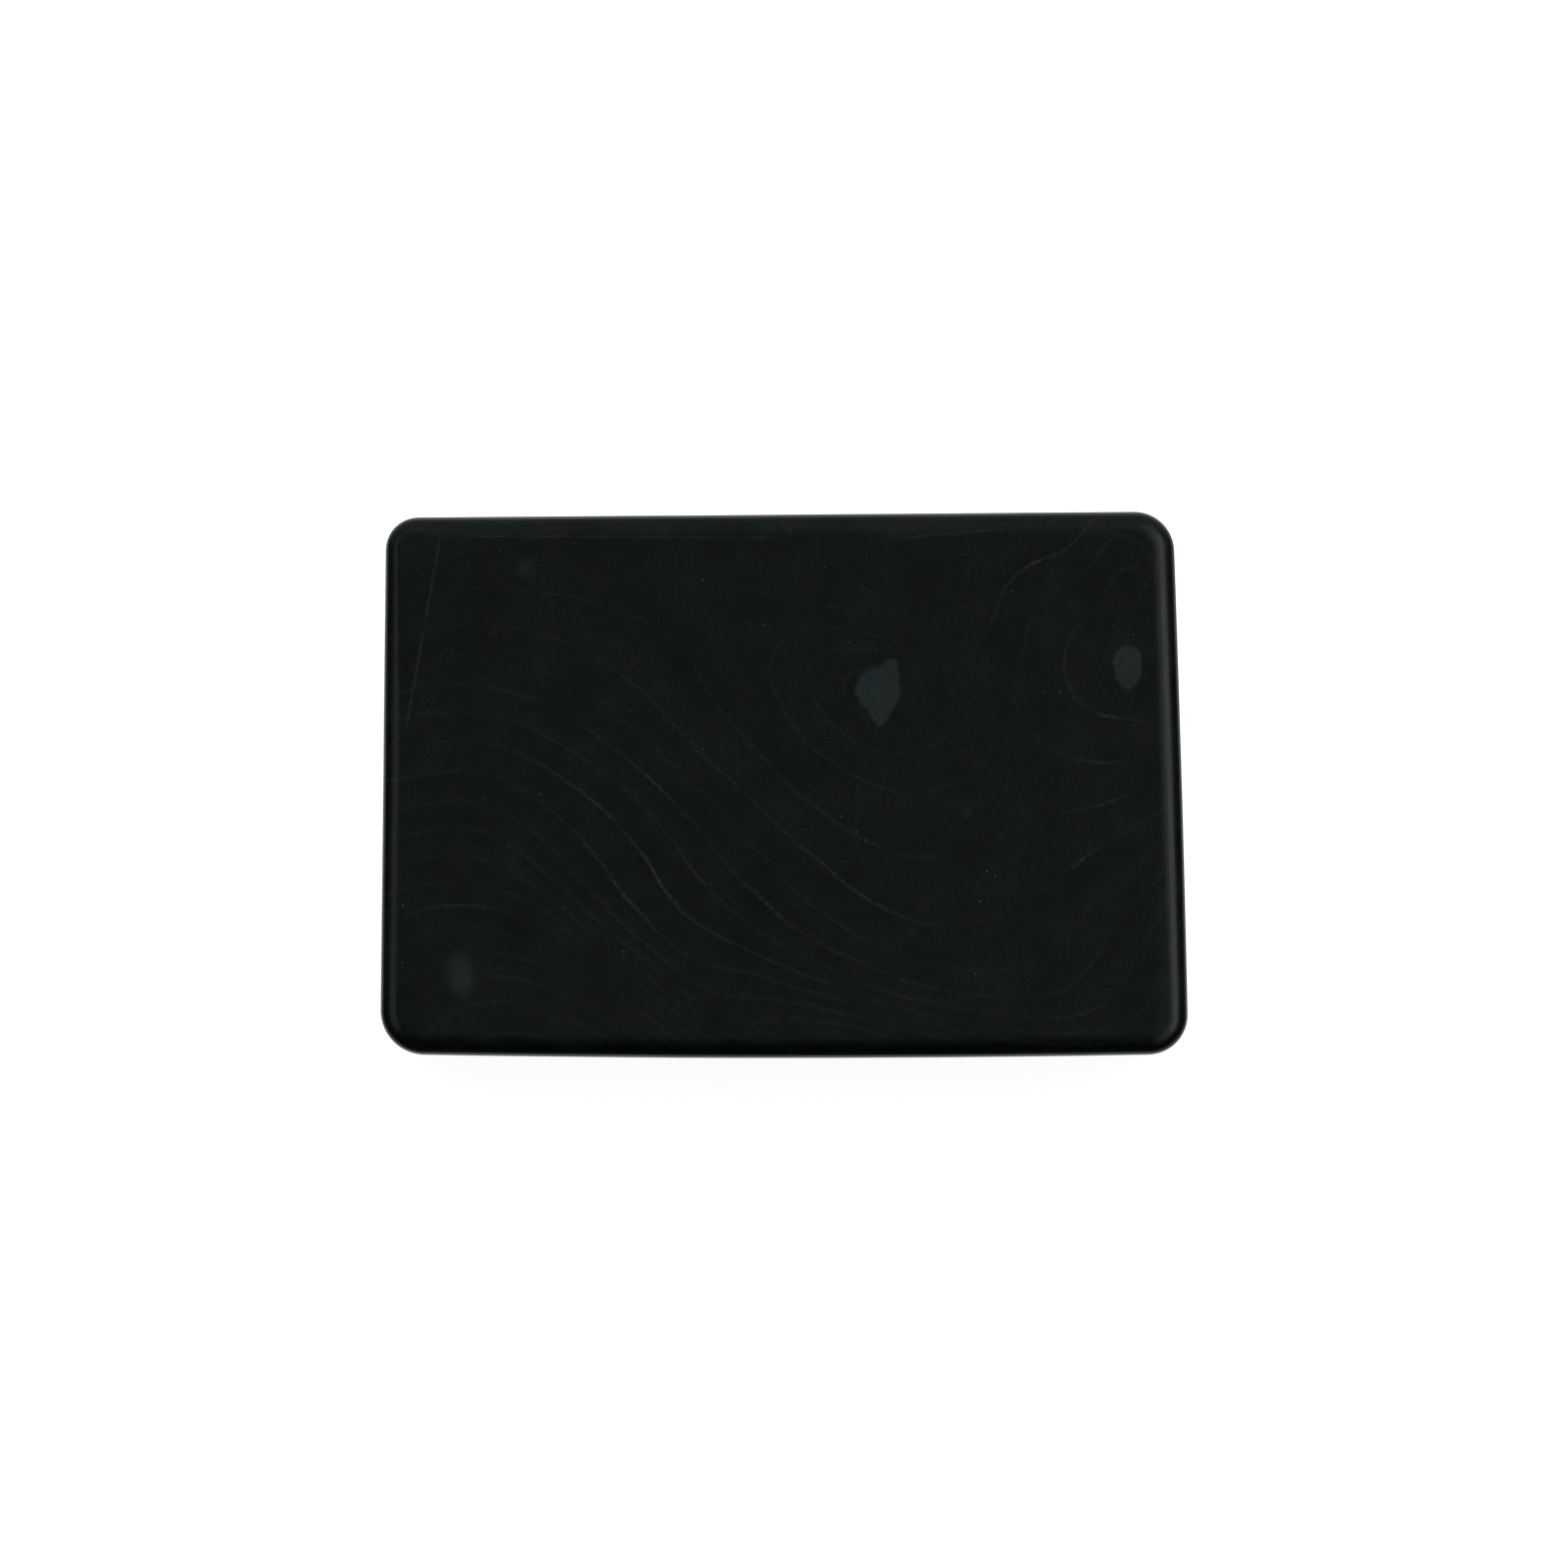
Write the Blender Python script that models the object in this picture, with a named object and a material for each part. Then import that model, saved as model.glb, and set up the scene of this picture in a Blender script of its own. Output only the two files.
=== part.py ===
"""Flat rectangular massage stone, cut, ground and polished from one piece of dark rock.

Units are metres, +Z up. The stone lies flat with its length along X and its front
towards -Y. Its plan is a slightly uneven rectangle: the back is shorter than the
front, each corner is rounded to its own radius, and two of the sides bow out a little.
Its rim is a rounded edge above and another below a gently crowned side.
"""

import math

import bmesh
import bpy
from mathutils import Vector

# Overall sizes, between the corners where the sides would meet without their rounding
FRONT_LENGTH = 0.09025
RIGHT_WIDTH = 0.06065
THICKNESS = 0.0180

# How far the hand-ground plan departs from a rectangle
LEFT_LEAN = 0.00065
RIGHT_LEAN = 0.00178
BACK_SKEW = 0.00069
FRONT_BOW = 0.00037
RIGHT_BOW = 0.00010

# Plan radius of each corner
FRONT_LEFT_RADIUS = 0.0050
FRONT_RIGHT_RADIUS = 0.0045
BACK_RIGHT_RADIUS = 0.0045
BACK_LEFT_RADIUS = 0.0037

# Section of the rim
EDGE_RADIUS = 0.0024
SIDE_CROWN_RADIUS = 0.080

# Fineness of the mesh
CORNER_STEPS = 12
SIDE_STEPS = 10
EDGE_STEPS = 6
CROWN_STEPS = 6
SHARP_ANGLE = math.radians(35)

# Finish
STONE_COLOUR = (0.0060, 0.0076, 0.0070, 1.0)
STONE_ROUGHNESS = 0.26


def clear_scene():
    """Remove every object, so that the scene holds only the stone."""
    for old in list(bpy.data.objects):
        bpy.data.objects.remove(old, do_unlink=True)


def plan_corners():
    """Return (corner, radius, bow of the side after it), counter-clockwise."""
    return [
        (Vector((0, 0)), FRONT_LEFT_RADIUS, FRONT_BOW),
        (Vector((FRONT_LENGTH, 0)), FRONT_RIGHT_RADIUS, RIGHT_BOW),
        (Vector((FRONT_LENGTH - RIGHT_LEAN, RIGHT_WIDTH)), BACK_RIGHT_RADIUS, 0.0),
        (Vector((LEFT_LEAN, RIGHT_WIDTH - BACK_SKEW)), BACK_LEFT_RADIUS, 0.0),
    ]


def corner_arc(before, corner, after, radius):
    """Return (point, outward normal) along the arc that rounds one corner."""
    arriving = (corner - before).normalized()
    leaving = (after - corner).normalized()
    turn = arriving.angle(leaving)
    tangent_length = radius * math.tan(turn / 2)
    first_normal = Vector((arriving.y, -arriving.x))
    centre = corner - arriving * tangent_length - first_normal * radius
    start_angle = math.atan2(first_normal.y, first_normal.x)
    arc = []
    for step in range(CORNER_STEPS + 1):
        angle = start_angle + turn * step / CORNER_STEPS
        normal = Vector((math.cos(angle), math.sin(angle)))
        arc.append((centre + normal * radius, normal))
    return arc


def bowed_side(start, end, bow):
    """Return (point, outward normal) between two arcs, along a side that bows out."""
    along = end - start
    normal = Vector((along.y, -along.x)).normalized()
    side = []
    for step in range(1, SIDE_STEPS):
        share = step / SIDE_STEPS
        bulge = 4 * bow * share * (1 - share)
        side.append((start + along * share + normal * bulge, normal))
    return side


def plan_outline():
    """Return the whole plan, centred on its own box, as (point, outward normal)."""
    corners = plan_corners()
    arcs = []
    for index, (corner, radius, _) in enumerate(corners):
        before = corners[index - 1][0]
        after = corners[(index + 1) % len(corners)][0]
        arcs.append(corner_arc(before, corner, after, radius))
    outline = []
    for index, (_, _, bow) in enumerate(corners):
        following = arcs[(index + 1) % len(arcs)]
        outline += arcs[index]
        outline += bowed_side(arcs[index][-1][0], following[0][0], bow)
    xs = [point.x for point, _ in outline]
    ys = [point.y for point, _ in outline]
    middle = Vector((min(xs) + max(xs), min(ys) + max(ys))) / 2
    return [(point - middle, normal) for point, normal in outline]


def rim_section():
    """Return (inset, height) up the rim: rounded edge, crowned side, rounded edge."""
    reach = SIDE_CROWN_RADIUS - EDGE_RADIUS
    crown_angle = math.asin((THICKNESS / 2 - EDGE_RADIUS) / reach)
    edge_inset = SIDE_CROWN_RADIUS - reach * math.cos(crown_angle)
    upper = []
    for step in range(EDGE_STEPS):
        angle = math.pi / 2 + (crown_angle - math.pi / 2) * step / EDGE_STEPS
        inset = edge_inset - EDGE_RADIUS * math.cos(angle)
        rise = reach * math.sin(crown_angle) + EDGE_RADIUS * math.sin(angle)
        upper.append((inset, rise))
    crown = []
    for step in range(CROWN_STEPS + 1):
        angle = crown_angle * (1 - 2 * step / CROWN_STEPS)
        inset = SIDE_CROWN_RADIUS * (1 - math.cos(angle))
        crown.append((inset, SIDE_CROWN_RADIUS * math.sin(angle)))
    lower = [(inset, -rise) for inset, rise in reversed(upper)]
    downwards = upper + crown + lower
    return [(inset, THICKNESS / 2 + rise) for inset, rise in reversed(downwards)]


def stone_mesh():
    """Return the stone's mesh: one ring of points for each step of the rim section."""
    outline = plan_outline()
    shape = bmesh.new()
    rings = []
    for inset, height in rim_section():
        ring = []
        for point, normal in outline:
            spot = point - normal * inset
            ring.append(shape.verts.new((spot.x, spot.y, height)))
        rings.append(ring)
    count = len(outline)
    for lower, upper in zip(rings, rings[1:]):
        for index in range(count):
            after = (index + 1) % count
            shape.faces.new((lower[index], lower[after], upper[after], upper[index]))
    shape.faces.new(list(reversed(rings[0])))
    shape.faces.new(rings[-1])
    mesh = bpy.data.meshes.new("stone")
    shape.to_mesh(mesh)
    shape.free()
    mesh.shade_smooth()
    mesh.set_sharp_from_angle(angle=SHARP_ANGLE)
    return mesh


def stone_material():
    """Return the near-black polished finish."""
    material = bpy.data.materials.new("polished_dark_stone")
    material.use_nodes = True
    shader = material.node_tree.nodes["Principled BSDF"]
    shader.inputs["Base Color"].default_value = STONE_COLOUR
    shader.inputs["Roughness"].default_value = STONE_ROUGHNESS
    shader.inputs["Metallic"].default_value = 0.0
    return material


def main():
    """Build the stone, resting on its lower face around the origin."""
    clear_scene()
    mesh = stone_mesh()
    mesh.materials.append(stone_material())
    stone = bpy.data.objects.new("stone", mesh)
    bpy.context.scene.collection.objects.link(stone)


main()
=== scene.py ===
"""Looks of a flat rectangular massage stone: polished near-black rock with faint wavy layers.

The stone is one piece of rock. It is sawn to a plate, its rim is rounded and shaved by
hand, and it is polished all over. Thin paler layers wave through the rock around a few
grey eyes, and small pits are left where grains broke out.
"""

import logging
import math
from dataclasses import dataclass, field
from enum import Enum
from functools import cached_property

import bmesh
import bpy
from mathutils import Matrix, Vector, kdtree


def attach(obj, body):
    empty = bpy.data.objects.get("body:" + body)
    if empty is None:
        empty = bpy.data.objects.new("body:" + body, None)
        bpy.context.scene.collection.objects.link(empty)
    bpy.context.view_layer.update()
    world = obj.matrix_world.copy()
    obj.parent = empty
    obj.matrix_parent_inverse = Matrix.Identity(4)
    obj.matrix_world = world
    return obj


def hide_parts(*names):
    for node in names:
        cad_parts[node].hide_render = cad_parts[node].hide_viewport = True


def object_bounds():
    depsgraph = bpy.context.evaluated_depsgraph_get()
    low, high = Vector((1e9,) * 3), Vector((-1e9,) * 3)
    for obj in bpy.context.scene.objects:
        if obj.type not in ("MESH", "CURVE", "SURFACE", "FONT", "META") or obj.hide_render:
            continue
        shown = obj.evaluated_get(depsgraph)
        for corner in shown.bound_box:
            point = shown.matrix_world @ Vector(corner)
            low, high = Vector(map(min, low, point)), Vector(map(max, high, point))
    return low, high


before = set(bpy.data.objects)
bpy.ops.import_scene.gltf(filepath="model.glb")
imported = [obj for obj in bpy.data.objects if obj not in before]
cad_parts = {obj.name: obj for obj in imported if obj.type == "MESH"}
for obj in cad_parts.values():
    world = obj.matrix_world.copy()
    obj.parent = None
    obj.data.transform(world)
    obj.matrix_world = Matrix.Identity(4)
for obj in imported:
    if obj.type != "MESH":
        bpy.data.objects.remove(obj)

MM = 0.001
MID_NOISE = (0.5, 0.5, 0.5)
log = logging.getLogger("massage_stone")

Place = tuple[float, float, float]
Socket = bpy.types.NodeSocket
Tree = bpy.types.NodeTree


# ---------------------------------------------------------------- node building


@dataclass(frozen=True)
class Patches:
    """Uneven patches: noise, and how it is eased from start, at low, to end, at high."""

    scale: float
    detail: float
    roughness: float
    low: float
    high: float
    start: float = 0.0
    end: float = 1.0


class NodeBench:
    """Adds and links nodes of one tree, so that each effect reads as a short recipe."""

    def __init__(self, tree: Tree) -> None:
        """Work on a tree.

        Args:
            tree: The shader or geometry tree to add nodes to.
        """
        self.tree = tree
        self.column = 0

    def add(self, kind: str, **settings: object) -> bpy.types.Node:
        """Add a node.

        Args:
            kind: The node's type name.
            settings: Values for the node's own properties.

        Returns:
            The new node, set and placed to the right of the one before.
        """
        node = self.tree.nodes.new(kind)
        node.location = (180 * self.column, 0)
        self.column += 1
        for name, value in settings.items():
            setattr(node, name, value)
        return node

    def feed(self, socket: Socket, value: object) -> None:
        """Link or set an input.

        Args:
            socket: The input socket.
            value: Another node's output to link, or a plain value to set.
        """
        if isinstance(value, Socket):
            self.tree.links.new(value, socket)
        elif value is not None:
            socket.default_value = value

    def wired(self, kind: str, inputs: dict[str | int, object],
              **settings: object) -> bpy.types.Node:
        """Add a node and feed its inputs.

        Args:
            kind: The node's type name.
            inputs: What to feed, by the input's name or number.
            settings: Values for the node's own properties.

        Returns:
            The new node.
        """
        node = self.add(kind, **settings)
        for name, value in inputs.items():
            self.feed(node.inputs[name], value)
        return node

    def maths(self, operation: str, *values: object, clamp: bool = False) -> Socket:
        """Return the result of arithmetic on numbers, which clamp holds between 0 and 1."""
        fed = dict(enumerate(values))
        return self.wired("ShaderNodeMath", fed, operation=operation, use_clamp=clamp).outputs[0]

    def vectors(self, operation: str, *values: object, number: bool = False) -> Socket:
        """Return the result of arithmetic on vectors, as a number or as a vector."""
        node = self.wired("ShaderNodeVectorMath", dict(enumerate(values)), operation=operation)
        return node.outputs["Value" if number else "Vector"]

    def scaled(self, vector: object, factor: object) -> Socket:
        """Return a vector times a number."""
        fed = {"Vector": vector, "Scale": factor}
        return self.wired("ShaderNodeVectorMath", fed, operation="SCALE").outputs["Vector"]

    def step(self, value: object, low: object, high: object, start: object = 0.0,
             end: object = 1.0) -> Socket:
        """Ease a number from start to end.

        Args:
            value: The number that drives the step.
            low: Where the step begins.
            high: Where it is complete.
            start: The result at low and below.
            end: The result at high and above.

        Returns:
            The result's socket.
        """
        fed = {"Value": value, "From Min": low, "From Max": high, "To Min": start, "To Max": end}
        node = self.wired("ShaderNodeMapRange", fed, interpolation_type="SMOOTHSTEP")
        return node.outputs["Result"]

    def noise(self, position: object, scale: float, detail: float = 2.0,
              roughness: float = 0.5, colour: bool = False) -> Socket:
        """Return smooth noise around 0.5 at a position, as one number or as three."""
        fed = {"Vector": position, "Scale": scale, "Detail": detail, "Roughness": roughness}
        return self.wired("ShaderNodeTexNoise", fed).outputs["Color" if colour else 0]

    def patchy(self, position: object, spec: Patches) -> Socket:
        """Return the level of uneven patches at a position."""
        level = self.noise(position, spec.scale, spec.detail, spec.roughness)
        return self.step(level, spec.low, spec.high, spec.start, spec.end)

    def blend(self, amount: object, under: object, over: object) -> Socket:
        """Return one colour laid over another by an amount."""
        fed = {"Factor": amount, 6: under, 7: over}
        return self.wired("ShaderNodeMix", fed, data_type="RGBA").outputs[2]

    def group(self, tree: Tree, **inputs: object) -> bpy.types.Node:
        """Place a node group.

        Args:
            tree: The group to place.
            inputs: Its inputs, by socket name with _ for each space.

        Returns:
            The group's node.
        """
        kind = self.tree.bl_idname.replace("NodeTree", "NodeGroup")
        fed = {name.replace("_", " "): value for name, value in inputs.items()}
        return self.wired(kind, fed, node_tree=tree)


class GroupSheet:
    """A node group under construction, with its named inputs and outputs."""

    def __init__(self, name: str, kind: str) -> None:
        """Start an empty group.

        Args:
            name: The group's name.
            kind: ShaderNodeTree or GeometryNodeTree.
        """
        self.tree = bpy.data.node_groups.new(name, kind)
        self.bench = NodeBench(self.tree)
        self.entry = self.bench.add("NodeGroupInput")
        self.exit = self.tree.nodes.new("NodeGroupOutput")

    def takes(self, name: str, kind: str = "Float", value: object = None) -> Socket:
        """Add an input.

        Args:
            name: The input's name.
            kind: Its socket type, such as Float, Vector or Geometry.
            value: Its value where nothing is linked.

        Returns:
            The socket that gives the input's value inside the group.
        """
        item = self.tree.interface.new_socket(
            name=name, in_out="INPUT", socket_type=f"NodeSocket{kind}"
        )
        if value is not None:
            item.default_value = value
        return self.entry.outputs[name]

    def gives(self, name: str, value: object, kind: str = "Float") -> None:
        """Add an output.

        Args:
            name: The output's name.
            value: The socket inside the group that it puts out.
            kind: Its socket type.
        """
        self.tree.interface.new_socket(
            name=name, in_out="OUTPUT", socket_type=f"NodeSocket{kind}"
        )
        self.bench.feed(self.exit.inputs[name], value)


# ---------------------------------------------------------------- the stone's shape


@dataclass(frozen=True)
class Corner:
    """One corner of the plan, before rounding, with the side that follows it.

    x and y place it from the front left corner, radius rounds it, and bow is how far
    the side after it, counter-clockwise, bulges at its middle.
    """

    x: float
    y: float
    radius: float
    bow: float = 0.0


@dataclass(frozen=True)
class Station:
    """A point on the plan's outline and the direction that faces out there."""

    place: Vector
    facing: Vector


@dataclass
class GroundPlan:
    """The stone seen from above: a slightly uneven rectangle with rounded corners."""

    front_length: float = 90.25 * MM
    right_width: float = 60.65 * MM
    left_lean: float = 0.65 * MM
    right_lean: float = 1.78 * MM
    back_skew: float = 0.69 * MM
    front_bow: float = 0.37 * MM
    right_bow: float = 0.10 * MM
    front_left_radius: float = 5.0 * MM
    front_right_radius: float = 4.5 * MM
    back_right_radius: float = 4.5 * MM
    back_left_radius: float = 3.7 * MM
    fineness: int = 160

    def corners(self) -> list[Corner]:
        """Return the corners, counter-clockwise from the front left."""
        right = self.front_length
        back = self.right_width
        return [
            Corner(0.0, 0.0, self.front_left_radius, self.front_bow),
            Corner(right, 0.0, self.front_right_radius, self.right_bow),
            Corner(right - self.right_lean, back, self.back_right_radius),
            Corner(self.left_lean, back - self.back_skew, self.back_left_radius),
        ]

    def arc(self, index: int, first: float, last: float) -> list[Station]:
        """Walk along part of the arc that rounds a corner.

        Args:
            index: The corner's number.
            first: Where to start, as a share of the arc.
            last: Where to stop, as a share of the arc.

        Returns:
            The stations along it.
        """
        ring = self.corners()
        here = Vector((ring[index].x, ring[index].y))
        before = Vector((ring[index - 1].x, ring[index - 1].y))
        following = ring[(index + 1) % len(ring)]
        arriving = (here - before).normalized()
        leaving = (Vector((following.x, following.y)) - here).normalized()
        turn = arriving.angle(leaving)
        radius = ring[index].radius
        start = Vector((arriving.y, -arriving.x))
        centre = here - arriving * radius * math.tan(turn / 2) - start * radius
        opening = math.atan2(start.y, start.x)
        stations = []
        for step in range(self.fineness + 1):
            share = first + (last - first) * step / self.fineness
            angle = opening + turn * share
            facing = Vector((math.cos(angle), math.sin(angle)))
            stations.append(Station(centre + facing * radius, facing))
        return stations

    def side(self, index: int, cells: int) -> list[Station]:
        """Walk along a side, from the middle of its first corner to that of its next.

        Args:
            index: The number of the corner before the side.
            cells: How many equal lengths to divide it into.

        Returns:
            The stations where those lengths begin; the last one's end is left out.
        """
        ring = self.corners()
        opening = self.arc(index, 0.5, 1.0)
        closing = self.arc((index + 1) % len(ring), 0.0, 0.5)
        start, end = opening[-1].place, closing[0].place
        along = end - start
        facing = Vector((along.y, -along.x)).normalized()
        straight = []
        for step in range(1, self.fineness):
            share = step / self.fineness
            bulge = 4 * ring[index].bow * share * (1 - share)
            straight.append(Station(start + along * share + facing * bulge, facing))
        return self.divide(opening + straight + closing, cells)

    @staticmethod
    def divide(fine: list[Station], cells: int) -> list[Station]:
        """Pick stations an equal length apart.

        Args:
            fine: Closely spaced stations.
            cells: How many equal lengths are wanted.

        Returns:
            One station for the start of each length.
        """
        travelled = [0.0]
        for before, after in zip(fine, fine[1:]):
            travelled.append(travelled[-1] + (after.place - before.place).length)
        picked = []
        position = 0
        for cell in range(cells):
            wanted = travelled[-1] * cell / cells
            while travelled[position + 1] < wanted:
                position += 1
            gap = travelled[position + 1] - travelled[position]
            share = (wanted - travelled[position]) / gap
            before, after = fine[position], fine[position + 1]
            place = before.place.lerp(after.place, share)
            facing = before.facing.lerp(after.facing, share).normalized()
            picked.append(Station(place, facing))
        return picked

    def outline(self, long_cells: int, wide_cells: int) -> list[Station]:
        """Walk round the whole plan, centred on its own box.

        Args:
            long_cells: How many cells the front and the back have each.
            wide_cells: How many cells the right and the left have each.

        Returns:
            The stations, counter-clockwise from the middle of the front left corner.
        """
        counts = (long_cells, wide_cells, long_cells, wide_cells)
        ring = [s for index, cells in enumerate(counts) for s in self.side(index, cells)]
        xs = [station.place.x for station in ring]
        ys = [station.place.y for station in ring]
        middle = Vector((min(xs) + max(xs), min(ys) + max(ys))) / 2
        return [Station(station.place - middle, station.facing) for station in ring]


@dataclass(frozen=True)
class Stroke:
    """One shallow flat shaved off the upper edge by hand.

    start and end are the ends of its inner border on the upper face, tilt is how
    steeply it falls away from there, and soft is how far the border is blended.
    """

    start: tuple[float, float]
    end: tuple[float, float]
    tilt: float
    soft: float

    def facing(self) -> Vector:
        """Return the direction that the shaved flat faces."""
        along = Vector(self.end) - Vector(self.start)
        out = Vector((along.y, -along.x)).normalized()
        tilt = math.radians(self.tilt)
        return Vector((out.x * math.sin(tilt), out.y * math.sin(tilt), math.cos(tilt)))


@dataclass
class Blank:
    """The rounded plate before its last hand grinding, as a closed mesh of even quads."""

    thickness: float
    plan: GroundPlan = field(default_factory=GroundPlan)
    edge_radius: float = 2.4 * MM
    side_crown_radius: float = 80 * MM
    long_cells: int = 144
    wide_cells: int = 98
    edge_steps: int = 12
    crown_steps: int = 16
    tolerance: float = 0.001 * MM

    def outline(self) -> list[Station]:
        """Return the stations round the plan, one for each cell."""
        return self.plan.outline(self.long_cells, self.wide_cells)

    def section(self) -> list[tuple[float, float]]:
        """Return (inset, height) down the rim: rounded edge, crowned side, rounded edge."""
        reach = self.side_crown_radius - self.edge_radius
        tip = math.asin((self.thickness / 2 - self.edge_radius) / reach)
        edge_inset = self.side_crown_radius - reach * math.cos(tip)
        upper = []
        for step in range(self.edge_steps):
            angle = math.pi / 2 + (tip - math.pi / 2) * step / self.edge_steps
            inset = edge_inset - self.edge_radius * math.cos(angle)
            rise = reach * math.sin(tip) + self.edge_radius * math.sin(angle)
            upper.append((inset, rise))
        crown = []
        for step in range(self.crown_steps + 1):
            angle = tip * (1 - 2 * step / self.crown_steps)
            inset = self.side_crown_radius * (1 - math.cos(angle))
            crown.append((inset, self.side_crown_radius * math.sin(angle)))
        lower = [(inset, -rise) for inset, rise in reversed(upper)]
        middle = self.thickness / 2
        return [(inset, middle + rise) for inset, rise in upper + crown + lower]

    def edge_cell(self, column: int, row: int) -> int | None:
        """Find a flat's grid point on the rim.

        Args:
            column: The point's column along the length.
            row: The point's row across the width.

        Returns:
            Its number round the rim, or None where it lies inside the flat.
        """
        long, wide = self.long_cells, self.wide_cells
        around = 2 * (long + wide)
        if row == 0:
            return column
        if column == long:
            return long + row
        if row == wide:
            return 2 * long + wide - column
        if column == 0:
            return (around - row) % around
        return None

    def flat(self, shape: bmesh.types.BMesh, rim: list, upward: bool) -> None:
        """Fill one flat face with a grid that meets the rim point for point.

        Args:
            shape: The mesh under construction.
            rim: The rim's vertices round this flat.
            upward: Whether the flat faces up.
        """
        long, wide = self.long_cells, self.wide_cells

        def edge(column: int, row: int) -> Vector:
            """Return the place of a grid point on the rim."""
            return rim[self.edge_cell(column, row)].co

        grid = []
        for row in range(wide + 1):
            v = row / wide
            line = []
            for column in range(long + 1):
                number = self.edge_cell(column, row)
                if number is not None:
                    line.append(rim[number])
                    continue
                u = column / long
                across = edge(0, row).lerp(edge(long, row), u)
                along = edge(column, 0).lerp(edge(column, wide), v)
                front = edge(0, 0).lerp(edge(long, 0), u)
                back = edge(0, wide).lerp(edge(long, wide), u)
                line.append(shape.verts.new(across + along - front.lerp(back, v)))
            grid.append(line)
        for near, far in zip(grid, grid[1:]):
            for column in range(long):
                quad = [near[column], near[column + 1], far[column + 1], far[column]]
                shape.faces.new(quad if upward else quad[::-1])

    def score(self, shape: bmesh.types.BMesh, stroke: Stroke) -> None:
        """Cut the upper flat's faces along a stroke's border and keep that border crisp.

        Args:
            shape: The mesh under construction.
            stroke: The stroke whose border is scored.
        """
        level = self.thickness - self.tolerance
        tops = [face for face in shape.faces if face.calc_center_median().z > level]
        edges = {edge for face in tops for edge in face.edges}
        corners = {vert for face in tops for vert in face.verts}
        facing = stroke.facing()
        cut = bmesh.ops.bisect_plane(
            shape, geom=[*tops, *edges, *corners], dist=2 * self.tolerance,
            plane_co=(*stroke.start, self.thickness), plane_no=(facing.x, facing.y, 0.0),
        )
        for part in cut["geom_cut"]:
            if isinstance(part, bmesh.types.BMEdge):
                part.smooth = False

    def mesh(self, scored: tuple[Stroke, ...] = ()) -> bpy.types.Mesh:
        """Build the closed mesh, resting on the origin's plane.

        Args:
            scored: The strokes whose borders on the upper flat stay crisp.

        Returns:
            The mesh.
        """
        outline = self.outline()
        shape = bmesh.new()
        rings = []
        for inset, height in self.section():
            ring = []
            for station in outline:
                spot = station.place - station.facing * inset
                ring.append(shape.verts.new((spot.x, spot.y, height)))
            rings.append(ring)
        around = len(outline)
        for upper, lower in zip(rings, rings[1:]):
            for here in range(around):
                after = (here + 1) % around
                shape.faces.new((lower[here], lower[after], upper[after], upper[here]))
        self.flat(shape, rings[0], upward=True)
        self.flat(shape, rings[-1], upward=False)
        for face in shape.faces:
            face.smooth = True
        for stroke in scored:
            self.score(shape, stroke)
        mesh = bpy.data.meshes.new("blank")
        shape.to_mesh(mesh)
        shape.free()
        return mesh


@dataclass
class HandGrinding:
    """The last hand work on the blank: shaved flats along its edges and a faint ripple."""

    strokes: tuple[Stroke, ...] = (
        Stroke((-38.3 * MM, 27.6 * MM), (-41.8 * MM, 6.5 * MM), 4.5, 0.02 * MM),
        Stroke((40.8 * MM, -27.0 * MM), (41.5 * MM, 0.0), 3.0, 0.03 * MM),
        Stroke((-37.0 * MM, -28.40 * MM), (3.0 * MM, -28.85 * MM), 33.0, 0.03 * MM),
    )
    ripple_height: float = 0.05 * MM
    ripple_size: float = 16 * MM
    crisp_tilt: float = 10.0

    def crisp(self) -> tuple[Stroke, ...]:
        """Return the strokes that are shallow enough to leave a crisp border."""
        return tuple(stroke for stroke in self.strokes if stroke.tilt < self.crisp_tilt)

    @staticmethod
    def shave() -> Tree:
        """Return the group that presses whatever stands over a sloping plane onto it."""
        sheet = GroupSheet("shave_flat", "GeometryNodeTree")
        bench = sheet.bench
        body = sheet.takes("Geometry", "Geometry")
        through, facing = (sheet.takes(name, "Vector") for name in ("Through", "Facing"))
        soft = sheet.takes("Soft")
        place = bench.add("GeometryNodeInputPosition").outputs[0]
        offset = bench.vectors("SUBTRACT", place, through)
        over = bench.vectors("DOT_PRODUCT", offset, facing, number=True)
        depth = bench.maths("SMOOTH_MAX", over, 0.0, soft)
        move = bench.scaled(facing, bench.maths("MULTIPLY", depth, -1.0))
        press = bench.wired("GeometryNodeSetPosition", {"Geometry": body, "Offset": move})
        sheet.gives("Geometry", press.outputs["Geometry"], "Geometry")
        return sheet.tree

    def tree(self, thickness: float) -> Tree:
        """Build the tree that ripples the surface and takes every stroke.

        Args:
            thickness: The height of the upper face.

        Returns:
            The tree, with the ripple's height and size as inputs.
        """
        sheet = GroupSheet("hand_grinding", "GeometryNodeTree")
        bench = sheet.bench
        body = sheet.takes("Geometry", "Geometry")
        height, size = sheet.takes("Ripple Height"), sheet.takes("Ripple Size")
        place = bench.add("GeometryNodeInputPosition").outputs[0]
        normal = bench.add("GeometryNodeInputNormal").outputs[0]
        spread = bench.scaled(place, bench.maths("DIVIDE", 1.0, size))
        swell = bench.maths("MULTIPLY", bench.noise(spread, 1.0, 1.0), height)
        move = bench.scaled(normal, bench.maths("MULTIPLY", swell, -1.0))
        ripple = bench.wired("GeometryNodeSetPosition", {"Geometry": body, "Offset": move})
        worked = ripple.outputs["Geometry"]
        shave = self.shave()
        for stroke in self.strokes:
            worked = bench.group(
                shave, Geometry=worked, Through=(*stroke.start, thickness),
                Facing=stroke.facing(), Soft=stroke.soft,
            ).outputs["Geometry"]
        sheet.gives("Geometry", worked, "Geometry")
        return sheet.tree


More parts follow.
